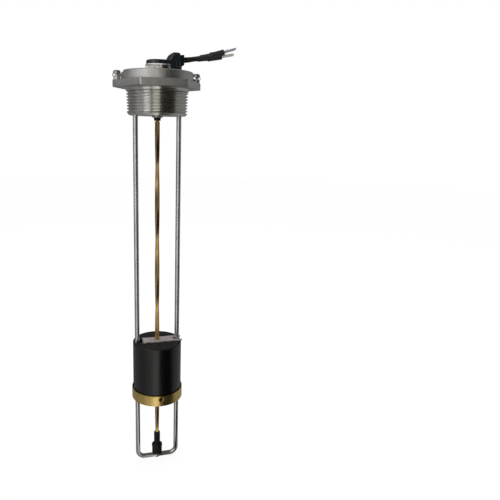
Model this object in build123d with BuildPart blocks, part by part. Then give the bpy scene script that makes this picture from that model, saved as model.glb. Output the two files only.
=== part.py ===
from build123d import *
import math
import os

os.makedirs("parts", exist_ok=True)

# A top-mounted magnetic level gauge of the spiral-bar kind, in millimetres.
# The origin is on the gauge's axis, at the underside of the hexagon, with +Z up.
# +X is the side that the two leads leave from, and the two dial screws lie along X.

# Hexagon and neck
hex_thickness = 5.5
hex_margin = 2.15
hex_corner_radius = 1.5
hex_edge_radius = 0.7
neck_radius = 24.5
neck_length = 2.2
neck_fillet = 1.3

# Tapered pipe thread, one and a half inch: plain grooves here, a true helix in the scene
thread_diameter = 48.3
thread_taper = 1 / 32
thread_length = 20.3
thread_pitch = 2.209
thread_depth = 1.25
thread_crest = 0.4
end_ring_height = 1.5
end_ring_step = 1.2
end_ring_chamfer = 0.4
neck_chamfer = 0.3

# Rim round the dial, open at the two ears of the lens
rim_wall = 2.1
rim_top = 12.3
rim_edge_radius = 0.9
rim_gap_half = 7.0

# Steps of the casting under the lens
lens_seat_z = 8.0
lens_seat_width = 1.3
ring_floor_z = 6.4
outer_floor_width = 3.4
bright_ring_half = 0.6
bright_ring_height = 0.9
inner_floor_width = 1.9
seal_seat_z = 6.9
seal_seat_width = 1.6
step_undercut = 0.4
recess_floor_z = 2.0

# Screws that hold the lens
screw_overhang = 3.15
screw_diameter = 3.5
screw_head_radius = 2.9
screw_head_height = 2.2
screw_dome_radius = 1.5
screw_end_z = 1.2
slot_width = 0.85
slot_length = 3.6
slot_depth = 1.1
boss_radius = 2.7
washer_thickness = 0.6
washer_outer = 2.85
washer_gap = 0.7
screw_clearance = 0.15

# Guide rod
rod_diameter = 4.0
rod_half_spacing = 17.4
rod_bottom_z = -322.5
rod_bend_radius = 6.0
rod_end_z = -9.0

# Spiral bar
bar_side = 3.0
bar_corner = 0.42
bar_top_gap = 0.5
bar_bottom_z = -299.3
quarter_pitch = 59.4
flat_height = -63.4
flat_angle = -104.5
journal_diameter = 2.4
running_clearance = 0.05

# Magnet end of the bar
web_underside_z = 0.0
carrier_radius = 6.4
carrier_wall = 1.2
carrier_height = 8.4
carrier_gap = 0.6
carrier_side_gap = 0.7
drive_magnet_height = 4.0

# Collar and bush under the head
collar_depth = 5.0
collar_nose_radius = 4.26
collar_nose = 1.4
collar_chamfer = 0.3
bush_shank_radius = 2.5
bush_nose_radius = 2.9
bush_nose = 2.4

# Foot of the bar
sleeve_radius = 2.75
sleeve_length = 10.5
sleeve_gap = 0.2
sleeve_chamfer = 0.3
foot_top_radius = 3.1
foot_ledge_radius = 4.7
foot_body_radius = 4.45
foot_flat_half = 3.1
foot_cone = 1.6
foot_ledge = 1.8
foot_ledge_slope = 0.5
foot_saddle = 0.15
foot_stem_radius = 0.9
foot_stem_head_radius = 1.4
foot_stem_head = 0.35
pivot_depth = 5.4
pivot_end_gap = 0.2

# Float
float_skirt = 1.5
float_top_z = -209.65
float_bottom_z = -260.6
float_edge_radius = 0.9
float_foot_chamfer = 0.4
float_bore_radius = 3.6
groove_width = 6.0
groove_reach = 2.2

# Drive plate on the float
plate_width = 10.8
plate_thickness = 0.8
plate_left_end = -12.5
plate_overhang = 0.3
plate_tab_drop = 6.0
plate_bend_radius = 0.4
plate_hole_clearance = 0.08
pocket_width = 1.5
pocket_clearance = 0.1
fork_setback = 0.5

# Brass ring round the float's lower end
ring_clearance = 0.5
ring_wall = 0.6
ring_height = 9.1
ring_lip_thickness = 0.7
ring_lip_reach = 0.8
ring_pin_radius = 1.1
ring_pin_hollow = 0.6
ring_pin_length = 6.4
ring_pin_angle = -90.0
ring_pin_drop = 3.0
ring_pin_slit = 0.3

# Dial under the lens
dial_base_radius = 19.0
dial_base_height = 3.4
dial_lip_width = 0.8
dial_lip_slope = 0.2
dial_lip_height = 1.5
dial_face_thickness = 0.4
dial_pocket_gap = 0.7
dial_floor = 0.8
hub_hole_radius = 2.3
pivot_radius = 0.6
pivot_top_z = 7.1
pivot_foot_radius = 1.6
pivot_foot_height = 0.4

# Pointer: a disc with a pointed arm, on a hub that carries its magnet
pointer_disc_radius = 9.8
pointer_tip_radius = 13.9
pointer_thickness = 0.6
pointer_gap = 0.4
pointer_angle = -43.0
pointer_arm_half = 1.3
hub_radius = 1.8
hub_top_z = 7.6
hub_play = 0.1
pointer_magnet_radius = 5.5
pointer_magnet_height = 1.8

# Lens with its two ears and the arched boss that the module clips on
lens_clearance = 0.2
lens_thickness = 1.6
lens_wall = 1.4
ear_lug_radius = 3.4
ear_root = 2.0
boss_arch_radius = 9.3
boss_side_length = 8.4
boss_top_z = 18.0
boss_edge_radius = 0.5
catch_width = 6.0
catch_height = 1.6
catch_z = 12.2
catch_depth = 0.7
seal_radius = 0.55

# Module
cover_setback = 0.6
cover_plate_thickness = 3.0
cover_edge_radius = 1.0
cover_top_z = 26.6
cover_bottom_z = 9.9
cover_rear_x = 16.2
cover_bulge_x = 18.0
ramp_foot_x = 7.0
ramp_top_x = 10.4
ramp_rib_radius = 0.4
ramp_ribs = 3
ramp_foot = 0.6
brow_radius = 2.8
rear_corner_radius = 2.4
cover_corner_radius = 2.0
cavity_half_width = 6.0
cavity_bottom_z = 14.0
cavity_skin = 1.6
cavity_front_x = 10.4
board_skin = 0.7
board_half_width = 4.6
board_left_x = -5.2
board_right_x = 14.0
board_thickness = 0.6
board_play = 0.1
chip_length = 4.0
chip_width = 3.0
block_depth_x = 5.6
block_flange_x = 1.9
block_flange_bottom_z = 17.8
block_flange_top_z = 25.3
block_corner_radius = 0.8
fit_clearance = 0.05

# How far a cut runs past the face that it opens
cut_margin = 1.0

# Leads: the two routes, from the block's rear face to the crimp of each terminal
wire_diameter = 2.7
lead_socket = 0.3
lead_exit_x = cover_bulge_x + block_flange_x - lead_socket
upper_route = [
    (lead_exit_x, -2.6, 22.6),
    (24.9, -2.75, 22.95),
    (30.1, -3.4, 23.75),
    (35.8, -4.5, 24.8),
    (41.4, -5.55, 26.0),
    (46.6, -6.2, 27.4),
    (51.2, -6.6, 28.8),
]
lower_route = [
    (lead_exit_x, 1.9, 21.45),
    (24.7, 2.25, 22.2),
    (29.4, 2.5, 23.25),
    (34.8, 2.3, 24.05),
    (40.4, 1.7, 24.75),
    (46.2, 0.95, 25.55),
    (51.4, 0.2, 26.5),
]
arc_share = 0.45
shrink_outer_radius = 2.2
shrink_start = 2
terminal_neck_length = 0.6
terminal_width = 6.3
terminal_shoulder = 8.0
terminal_shoulder_length = 2.6
terminal_length = 9.8
terminal_thickness = 0.8
terminal_chamfer = 1.2
terminal_hole_radius = 0.85
terminal_neck_half = 1.2
terminal_roll = -6.0

thread_bottom_z = -thread_length
end_ring_z = thread_bottom_z + end_ring_height
bar_top_z = thread_bottom_z - collar_nose - bush_nose - bar_top_gap

# The casting's rings follow the dial, and the float follows the guide rod
seal_seat_radius = dial_base_radius + seal_seat_width
bright_ring_radius = seal_seat_radius + inner_floor_width
rim_inner_radius = bright_ring_radius + outer_floor_width
rim_radius = rim_inner_radius + rim_wall
hex_across_flats = 2 * (rim_radius + hex_margin)
screw_offset = rim_radius + screw_overhang
magnet_bore_radius = carrier_radius + carrier_side_gap
float_radius = rod_half_spacing + rod_diameter / 2 + float_skirt
groove_inner = rod_half_spacing - rod_diameter / 2 - groove_reach
fork_inner = groove_inner + fork_setback
plate_right_end = float_radius + plate_overhang
ring_outer_radius = float_radius + ring_clearance + ring_wall
ring_lip_radius = float_radius - ring_lip_reach
dial_face_edge = dial_base_radius - dial_lip_width - dial_lip_slope
dial_face_radius = dial_face_edge - fit_clearance
dial_pocket_radius = pointer_magnet_radius + dial_pocket_gap
cover_arch_radius = boss_arch_radius - cover_setback

dial_face_z = recess_floor_z + dial_base_height
lens_top_z = lens_seat_z + lens_thickness
cover_plate_top_z = boss_top_z + cover_plate_thickness


def thread_radius(z):
    """The radius of the tapered thread's crests at height z, below the neck."""
    return thread_diameter / 2 + (z + neck_length) * thread_taper


def thread_grooves():
    """Points down the side of the thread: three for each groove, crest, root and crest."""
    taper_length = -neck_length - end_ring_z
    turns = int(taper_length / thread_pitch)
    margin = (taper_length - turns * thread_pitch) / 2
    half = (thread_pitch - thread_crest) / 2
    points = []
    for turn in range(turns):
        root_z = -neck_length - margin - (turn + 1 / 2) * thread_pitch
        points.append((thread_radius(root_z + half), root_z + half))
        points.append((thread_radius(root_z) - thread_depth, root_z))
        points.append((thread_radius(root_z - half), root_z - half))
    return points


# Head casting: hexagon, neck, thread and rim, then the recess above and the bores below
with BuildPart() as head_casting:
    with BuildSketch(Plane.XY) as hexagon:
        RegularPolygon(hex_across_flats / 2, 6, major_radius=False, rotation=0)
        fillet(hexagon.vertices(), hex_corner_radius)
    extrude(amount=hex_thickness)
    fillet(head_casting.faces().sort_by(Axis.Z)[0].edges(), hex_edge_radius)
    fillet(head_casting.faces().sort_by(Axis.Z)[-1].edges(), hex_edge_radius)
    with BuildSketch(Plane.XZ) as threaded_end:
        with BuildLine():
            flare_radius = neck_radius + neck_fillet
            end_ring_radius = thread_radius(end_ring_z) - end_ring_step
            CenterArc((flare_radius, -neck_fillet), neck_fillet, 90, 90)
            Polyline(
                (neck_radius, -neck_fillet),
                (neck_radius, -neck_length + neck_chamfer),
                (thread_radius(-neck_length), -neck_length),
                *thread_grooves(),
                (thread_radius(end_ring_z), end_ring_z),
                (end_ring_radius, thread_bottom_z + end_ring_chamfer),
                (end_ring_radius - end_ring_chamfer / 2, thread_bottom_z),
                (0, thread_bottom_z),
                (0, hex_thickness / 2),
                (flare_radius, hex_thickness / 2),
                (flare_radius, 0),
            )
        make_face()
    revolve(axis=Axis.Z)
    with BuildSketch(Plane.XY.offset(hex_thickness / 2)) as rim_ring:
        Circle(rim_radius)
    extrude(amount=rim_top - hex_thickness / 2)
    rim_edge = head_casting.faces().sort_by(Axis.Z)[-1].edges()
    fillet(rim_edge, rim_edge_radius)
    with BuildSketch(Plane.XZ) as dial_recess:
        with BuildLine():
            Polyline(
                (0, recess_floor_z),
                (dial_base_radius + lens_clearance / 2, recess_floor_z),
                (dial_base_radius + lens_clearance / 2, seal_seat_z),
                (seal_seat_radius, seal_seat_z),
                (seal_seat_radius + step_undercut, ring_floor_z - step_undercut),
                (bright_ring_radius - bright_ring_half, ring_floor_z),
                (bright_ring_radius, ring_floor_z + bright_ring_height),
                (bright_ring_radius + bright_ring_half, ring_floor_z),
                (rim_inner_radius - lens_seat_width - step_undercut, ring_floor_z),
                (rim_inner_radius - lens_seat_width, lens_seat_z),
                (rim_inner_radius, lens_seat_z),
                (rim_inner_radius, rim_top + cut_margin),
                (0, rim_top + cut_margin),
                close=True,
            )
        make_face()
    revolve(axis=Axis.Z, mode=Mode.SUBTRACT)
    # The gaps in the rim that the lens's ears pass through, and the boss under each ear
    with BuildSketch(Plane.XY.offset(lens_seat_z)) as ear_gaps:
        gap_length = 2 * (screw_offset - rim_inner_radius + rim_wall)
        with Locations((-screw_offset, 0), (screw_offset, 0)):
            Rectangle(gap_length, 2 * rim_gap_half)
    extrude(amount=rim_top, mode=Mode.SUBTRACT)
    with BuildSketch(Plane.XY.offset(hex_thickness / 2)) as screw_bosses:
        with Locations((-screw_offset, 0), (screw_offset, 0)):
            Circle(boss_radius)
    extrude(amount=lens_seat_z - hex_thickness / 2)
    with BuildSketch(Plane.XY.offset(screw_end_z)) as screw_holes:
        with Locations((-screw_offset, 0), (screw_offset, 0)):
            Circle(screw_diameter / 2)
    extrude(amount=lens_seat_z, mode=Mode.SUBTRACT)
    # Bores from below: the magnet's well and the two holes for the guide rod
    with BuildSketch(Plane.XY.offset(thread_bottom_z)) as magnet_well:
        Circle(magnet_bore_radius)
    extrude(amount=web_underside_z - thread_bottom_z, mode=Mode.SUBTRACT)
    with BuildSketch(Plane.XY.offset(thread_bottom_z)) as rod_holes:
        with Locations((-rod_half_spacing, 0), (rod_half_spacing, 0)):
            Circle(rod_diameter / 2)
    extrude(amount=rod_end_z - thread_bottom_z, mode=Mode.SUBTRACT)

# Guide rod: one rod bent to a U, with a hole for the foot bearing's stem
with BuildPart() as guide_rod:
    with BuildLine() as rod_path:
        FilletPolyline(
            (-rod_half_spacing, 0, rod_end_z),
            (-rod_half_spacing, 0, rod_bottom_z),
            (rod_half_spacing, 0, rod_bottom_z),
            (rod_half_spacing, 0, rod_end_z),
            radius=rod_bend_radius,
        )
    with BuildSketch(Plane((-rod_half_spacing, 0, rod_end_z), z_dir=(0, 0, -1))):
        Circle(rod_diameter / 2)
    sweep()
    with Locations((0, 0, rod_bottom_z)):
        Cylinder(foot_stem_radius, 2 * rod_diameter, mode=Mode.SUBTRACT)


def bar_angle(z):
    """The turn of the bar's square section at height z, in degrees."""
    return flat_angle + (z - flat_height) / quarter_pitch * 90


# Spiral bar: a square section twisted to the right, between two turned journals
bar_length = bar_top_z - bar_bottom_z
bar_twist = bar_length / quarter_pitch * 90
with BuildSketch(Plane.XY.offset(bar_bottom_z)) as bar_section:
    RectangleRounded(bar_side, bar_side, bar_corner, rotation=bar_angle(bar_bottom_z))
twisted_bar = Solid.extrude_linear_with_rotation(
    bar_section.sketch.faces()[0],
    (0, 0, bar_bottom_z),
    (0, 0, bar_length),
    bar_twist,
)
foot_top_z = bar_bottom_z - sleeve_length - sleeve_gap
pivot_end_z = foot_top_z - pivot_depth + pivot_end_gap
carrier_top_z = web_underside_z - carrier_gap
carrier_bottom_z = carrier_top_z - carrier_height
with BuildPart() as spiral_bar:
    add(twisted_bar)
    with BuildSketch(Plane.XY.offset(bar_top_z)):
        Circle(journal_diameter / 2)
    extrude(amount=carrier_top_z - drive_magnet_height - carrier_wall - bar_top_z)
    with BuildSketch(Plane.XY.offset(pivot_end_z)):
        Circle(journal_diameter / 2)
    extrude(amount=bar_bottom_z - pivot_end_z)

# Magnet carrier and magnet on the bar's top journal
with BuildPart() as magnet_carrier:
    with BuildSketch(Plane.XY.offset(carrier_bottom_z)):
        Circle(carrier_radius)
        Circle(journal_diameter / 2, mode=Mode.SUBTRACT)
    extrude(amount=carrier_height)
    with BuildSketch(Plane.XY.offset(carrier_top_z)):
        Circle(carrier_radius - carrier_wall)
    extrude(amount=-drive_magnet_height, mode=Mode.SUBTRACT)
    carrier_floor_z = carrier_top_z - drive_magnet_height - carrier_wall
    with BuildSketch(Plane.XY.offset(carrier_floor_z)):
        Circle(journal_diameter)
    extrude(amount=carrier_wall)
with BuildPart() as drive_magnet:
    with BuildSketch(Plane.XY.offset(carrier_top_z - drive_magnet_height)):
        Circle(carrier_radius - carrier_wall)
    extrude(amount=drive_magnet_height)

# Collar pressed into the magnet's well, with the bush that guides the bar
with BuildPart() as upper_collar:
    with BuildSketch(Plane.XY.offset(thread_bottom_z)):
        Circle(magnet_bore_radius)
    extrude(amount=collar_depth)
    with BuildSketch(Plane.XY.offset(thread_bottom_z)):
        Circle(collar_nose_radius)
    extrude(amount=-collar_nose)
    nose_rim = upper_collar.faces().sort_by(Axis.Z)[0].edges()
    chamfer(nose_rim, collar_chamfer)
    with BuildSketch(Plane.XY.offset(thread_bottom_z - collar_nose)):
        Circle(bush_shank_radius)
    extrude(amount=collar_depth + collar_nose, mode=Mode.SUBTRACT)
bush_bore_radius = journal_diameter / 2 + running_clearance
with BuildPart() as upper_bush:
    with BuildSketch(Plane.XZ) as bush_profile:
        with BuildLine():
            Polyline(
                (bush_bore_radius, thread_bottom_z + collar_depth),
                (bush_shank_radius, thread_bottom_z + collar_depth),
                (bush_shank_radius, thread_bottom_z - collar_nose),
                (bush_nose_radius, thread_bottom_z - collar_nose),
                (bush_shank_radius, thread_bottom_z - collar_nose - bush_nose),
                (bush_bore_radius, thread_bottom_z - collar_nose - bush_nose),
                close=True,
            )
        make_face()
    revolve(axis=Axis.Z)

# Sleeve on the bar's lower journal, turning with the bar
with BuildPart() as lower_sleeve:
    with BuildSketch(Plane.XY.offset(bar_bottom_z)):
        Circle(sleeve_radius)
        Circle(journal_diameter / 2, mode=Mode.SUBTRACT)
    extrude(amount=-sleeve_length)
    sleeve_top_rim = lower_sleeve.edges().group_by(Axis.Z)[-1].sort_by(SortBy.LENGTH)[-1]
    chamfer(sleeve_top_rim, sleeve_chamfer)

# Foot bearing: it sits astride the rod, and its stem is staked through the rod's hole
foot_bottom_z = rod_bottom_z + rod_diameter / 2 - foot_saddle
flats_top_z = foot_top_z - foot_cone - foot_ledge - foot_ledge_slope
stem_end_z = rod_bottom_z - rod_diameter / 2
with BuildPart() as foot_bearing:
    with BuildSketch(Plane.XZ) as foot_profile:
        with BuildLine():
            Polyline(
                (0, foot_top_z),
                (foot_top_radius, foot_top_z),
                (foot_ledge_radius, foot_top_z - foot_cone),
                (foot_ledge_radius, foot_top_z - foot_cone - foot_ledge),
                (foot_body_radius, flats_top_z),
                (foot_body_radius, foot_bottom_z),
                (0, foot_bottom_z),
                close=True,
            )
        make_face()
    revolve(axis=Axis.Z)
    with BuildSketch(Plane.XY.offset(foot_bottom_z)) as foot_flats:
        for side in (-1, 1):
            with Locations((0, side * (foot_flat_half + foot_body_radius))):
                Rectangle(2 * foot_ledge_radius, 2 * foot_body_radius)
    extrude(amount=flats_top_z - foot_bottom_z, mode=Mode.SUBTRACT)
    with BuildSketch(Plane.YZ.offset(-2 * foot_ledge_radius)) as saddle:
        with Locations((0, rod_bottom_z)):
            Circle(rod_diameter / 2)
    extrude(amount=4 * foot_ledge_radius, mode=Mode.SUBTRACT)
    with BuildSketch(Plane.XY.offset(stem_end_z)):
        Circle(foot_stem_radius)
    extrude(amount=rod_diameter)
    with BuildSketch(Plane.XY.offset(stem_end_z)):
        Circle(foot_stem_head_radius)
    extrude(amount=-foot_stem_head)
    with BuildSketch(Plane.XY.offset(foot_top_z)):
        Circle(journal_diameter / 2 + running_clearance)
    extrude(amount=-pivot_depth, mode=Mode.SUBTRACT)

# Float: a cylinder with a through bore, and two side grooves that clear the guide rod
with BuildPart() as float_body:
    with BuildSketch(Plane.XY.offset(float_bottom_z)):
        Circle(float_radius)
    extrude(amount=float_top_z - float_bottom_z)
    fillet(float_body.faces().sort_by(Axis.Z)[-1].edges(), float_edge_radius)
    chamfer(float_body.faces().sort_by(Axis.Z)[0].edges(), float_foot_chamfer)
    with BuildSketch(Plane.XY.offset(float_bottom_z)) as float_cuts:
        Circle(float_bore_radius)
        for side in (-1, 1):
            groove_centre = side * (groove_inner + groove_width / 2)
            groove_mouth = side * (float_radius + cut_margin)
            with Locations((groove_centre, 0)):
                Circle(groove_width / 2)
            with Locations(((groove_centre + groove_mouth) / 2, 0)):
                Rectangle(abs(groove_mouth - groove_centre), groove_width)
    extrude(amount=float_top_z - float_bottom_z, mode=Mode.SUBTRACT)
    pocket_inner_x = plate_left_end + plate_thickness
    with BuildSketch(Plane.XY.offset(float_top_z)) as tab_pocket:
        with Locations((pocket_inner_x - (plate_thickness + pocket_width) / 2, 0)):
            Rectangle(plate_thickness + pocket_width, plate_width + 2 * pocket_clearance)
    extrude(amount=-(plate_tab_drop + pocket_clearance), mode=Mode.SUBTRACT)
    pin_z = float_bottom_z - ring_lip_thickness + ring_height - ring_pin_drop
    pin_direction = Vector(1, 0, 0).rotate(Axis.Z, ring_pin_angle)
    pin_plane = Plane(pin_direction * ring_outer_radius + Vector(0, 0, pin_z), z_dir=pin_direction)
    with BuildSketch(pin_plane):
        Circle(ring_pin_radius)
    extrude(amount=-(ring_wall + ring_pin_length), mode=Mode.SUBTRACT)

# Drive plate: lies on the float, hooked in at one end and forked round the rod at the other
with BuildPart() as drive_plate:
    plate_top_z = float_top_z + plate_thickness
    with BuildSketch(Plane.XY.offset(float_top_z)) as plate_outline:
        with Locations(((plate_left_end + plate_right_end) / 2, 0)):
            Rectangle(plate_right_end - plate_left_end, plate_width)
        with Locations((fork_inner + groove_width / 2, 0)):
            Circle(groove_width / 2, mode=Mode.SUBTRACT)
        with Locations((fork_inner + groove_width / 2 + plate_width / 2, 0)):
            Rectangle(plate_width, groove_width, mode=Mode.SUBTRACT)
    extrude(amount=plate_thickness)
    with BuildSketch(Plane.XY.offset(float_top_z)) as plate_tab:
        with Locations((plate_left_end + plate_thickness / 2, 0)):
            Rectangle(plate_thickness, plate_width)
    extrude(amount=-plate_tab_drop)
    bend_edge = drive_plate.edges().filter_by(Axis.Y).group_by(Axis.Z)[-1].sort_by(Axis.X)[0]
    fillet(bend_edge, plate_bend_radius)
    hole_side = bar_side + 2 * plate_hole_clearance
    hole_z = float_top_z + plate_thickness / 2
    with BuildSketch(Plane.XY.offset(float_top_z)):
        RectangleRounded(hole_side, hole_side, bar_corner / 2, rotation=bar_angle(hole_z))
    extrude(amount=plate_thickness, mode=Mode.SUBTRACT)

# Brass ring with its turned-in lip, and the hollow spring pin that holds it
ring_bottom_z = float_bottom_z - ring_lip_thickness
with BuildPart() as float_ring:
    with BuildSketch(Plane.XZ) as ring_profile:
        with BuildLine():
            Polyline(
                (ring_lip_radius, ring_bottom_z),
                (ring_outer_radius, ring_bottom_z),
                (ring_outer_radius, ring_bottom_z + ring_height),
                (ring_outer_radius - ring_wall, ring_bottom_z + ring_height),
                (ring_outer_radius - ring_wall, float_bottom_z),
                (ring_lip_radius, float_bottom_z),
                close=True,
            )
        make_face()
    revolve(axis=Axis.Z)
    with BuildSketch(pin_plane):
        Circle(ring_pin_radius)
    extrude(amount=-2 * ring_wall, both=True, mode=Mode.SUBTRACT)
with BuildPart() as ring_pin:
    with BuildSketch(pin_plane.offset(-ring_wall / 2)):
        Circle(ring_pin_radius)
        Circle(ring_pin_hollow, mode=Mode.SUBTRACT)
        with Locations((0, ring_pin_radius)):
            Rectangle(ring_pin_slit, 2 * ring_pin_radius, mode=Mode.SUBTRACT)
    extrude(amount=-ring_pin_length)

# Dial base: a cup with a raised lip, a pocket for the pointer's magnet and the pivot's seat
with BuildPart() as dial_base:
    with BuildSketch(Plane.XZ) as base_profile:
        with BuildLine():
            Polyline(
                (0, recess_floor_z),
                (dial_base_radius, recess_floor_z),
                (dial_base_radius, dial_face_z + dial_lip_height),
                (dial_base_radius - dial_lip_width, dial_face_z + dial_lip_height),
                (dial_face_edge, dial_face_z),
                (dial_pocket_radius, dial_face_z),
                (dial_pocket_radius, recess_floor_z + dial_floor),
                (0, recess_floor_z + dial_floor),
                close=True,
            )
        make_face()
    revolve(axis=Axis.Z)
    with Locations((0, 0, recess_floor_z)):
        Cylinder(pivot_radius, 4 * dial_floor, mode=Mode.SUBTRACT)
with BuildPart() as dial_face:
    with BuildSketch(Plane.XY.offset(dial_face_z)):
        Circle(dial_face_radius)
        Circle(hub_hole_radius, mode=Mode.SUBTRACT)
    extrude(amount=dial_face_thickness)

# Pivot with its foot in the cup, the pointer on it and the magnet on the pointer's hub
with BuildPart() as pointer_pivot:
    with BuildSketch(Plane.XZ) as pivot_profile:
        with BuildLine():
            Polyline(
                (0, recess_floor_z),
                (pivot_radius, recess_floor_z),
                (pivot_radius, recess_floor_z + dial_floor),
                (pivot_foot_radius, recess_floor_z + dial_floor),
                (pivot_foot_radius, recess_floor_z + dial_floor + pivot_foot_height),
                (pivot_radius, recess_floor_z + dial_floor + pivot_foot_height),
                (pivot_radius, pivot_top_z - pivot_radius),
                (0, pivot_top_z),
                close=True,
            )
        make_face()
    revolve(axis=Axis.Z)
pointer_z = dial_face_z + dial_face_thickness + pointer_gap
magnet_low_z = recess_floor_z + dial_floor + pivot_foot_height + hub_play
with BuildPart() as pointer:
    with BuildSketch(Plane.XY.offset(pointer_z)) as pointer_outline:
        Circle(pointer_disc_radius)
        with BuildLine(Plane.XY.rotated((0, 0, pointer_angle))):
            Polyline(
                (0, -pointer_arm_half),
                (pointer_disc_radius, -pointer_arm_half),
                (pointer_tip_radius, 0),
                (pointer_disc_radius, pointer_arm_half),
                (0, pointer_arm_half),
                close=True,
            )
        make_face()
    extrude(amount=pointer_thickness)
    with BuildSketch(Plane.XY.offset(magnet_low_z)):
        Circle(hub_radius)
    extrude(amount=hub_top_z - magnet_low_z)
    with BuildSketch(Plane.XY.offset(magnet_low_z)):
        Circle(pivot_radius + running_clearance)
    extrude(amount=pivot_top_z + 2 * running_clearance - magnet_low_z, mode=Mode.SUBTRACT)
with BuildPart() as pointer_magnet:
    with BuildSketch(Plane.XY.offset(magnet_low_z)):
        Circle(pointer_magnet_radius)
        Circle(hub_radius, mode=Mode.SUBTRACT)
    extrude(amount=pointer_magnet_height)

# Lens: clear plate with two ears, and the hollow arched boss that the module clips on
with BuildPart() as dial_lens:
    with BuildSketch(Plane.XY.offset(lens_seat_z)) as lens_outline:
        Circle(rim_inner_radius - lens_clearance)
        for side in (-1, 1):
            with BuildSketch(mode=Mode.PRIVATE) as ear:
                with Locations((side * screw_offset, 0)):
                    Circle(ear_lug_radius)
                with Locations((side * (rim_inner_radius - ear_root), 0)):
                    Rectangle(ear_root, 2 * (rim_gap_half - lens_clearance))
                make_hull()
            add(ear.sketch)
        with Locations((-screw_offset, 0), (screw_offset, 0)):
            Circle(screw_diameter / 2 + screw_clearance, mode=Mode.SUBTRACT)
    extrude(amount=lens_thickness)
    with BuildSketch(Plane.XY.offset(lens_seat_z + lens_thickness / 2)) as boss_body:
        with BuildLine():
            boss_arc = CenterArc((0, 0), boss_arch_radius, 90, 180)
            Polyline(
                boss_arc @ 1,
                (boss_side_length, -boss_arch_radius),
                (boss_side_length, boss_arch_radius),
                boss_arc @ 0,
            )
        make_face()
    extrude(amount=boss_top_z - lens_seat_z - lens_thickness / 2)
    fillet(dial_lens.faces().sort_by(Axis.Z)[-1].edges(), boss_edge_radius)
    with BuildSketch(Plane.XY.offset(lens_seat_z)) as boss_hollow:
        hollow_radius = boss_arch_radius - lens_wall
        with BuildLine():
            hollow_arc = CenterArc((0, 0), hollow_radius, 90, 180)
            Polyline(
                hollow_arc @ 1,
                (boss_side_length - lens_wall, -hollow_radius),
                (boss_side_length - lens_wall, hollow_radius),
                hollow_arc @ 0,
            )
        make_face()
    extrude(amount=boss_top_z - lens_wall - lens_seat_z, mode=Mode.SUBTRACT)
    with BuildSketch(Plane.YZ.offset(boss_side_length)) as catch_slot:
        with Locations((0, catch_z + catch_height / 2)):
            Rectangle(catch_width, catch_height)
    extrude(amount=-catch_depth, mode=Mode.SUBTRACT)

# Seal ring between the dial and the casting, squeezed to flats
with BuildPart() as dial_seal:
    with BuildSketch(Plane.XZ) as seal_section:
        with Locations(((dial_base_radius + seal_seat_radius) / 2, seal_seat_z + seal_radius)):
            RegularPolygon(seal_radius, 8, major_radius=False, rotation=22.5)
    revolve(axis=Axis.Z)


def make_dial_screw(x):
    """A domed cross-recess screw at x on the X axis, with its shank in the casting."""
    head_z = lens_top_z + washer_thickness
    with BuildPart() as screw:
        with BuildSketch(Plane.XZ) as screw_profile:
            with BuildLine():
                Polyline(
                    (0, head_z + screw_head_height),
                    (0, screw_end_z),
                    (screw_diameter / 2, screw_end_z),
                    (screw_diameter / 2, head_z),
                    (screw_head_radius, head_z),
                    (screw_head_radius, head_z + screw_head_height),
                    close=True,
                )
            make_face()
        revolve(axis=Axis.Z)
        fillet(screw.faces().sort_by(Axis.Z)[-1].edges(), screw_dome_radius)
        with BuildSketch(Plane.XY.offset(head_z + screw_head_height)):
            Rectangle(slot_length, slot_width)
            Rectangle(slot_width, slot_length)
        extrude(amount=-slot_depth, mode=Mode.SUBTRACT)
    return screw.part.moved(Location((x, 0, 0)))


def make_lock_washer(x):
    """A split ring under the screw's head."""
    with BuildPart() as washer:
        with BuildSketch(Plane.XY.offset(lens_top_z)):
            Circle(washer_outer)
            Circle(screw_diameter / 2 + screw_clearance, mode=Mode.SUBTRACT)
            with Locations((0, -washer_outer)):
                Rectangle(washer_gap, washer_outer, mode=Mode.SUBTRACT)
        extrude(amount=washer_thickness)
    return washer.part.moved(Location((x, 0, 0)))


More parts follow.
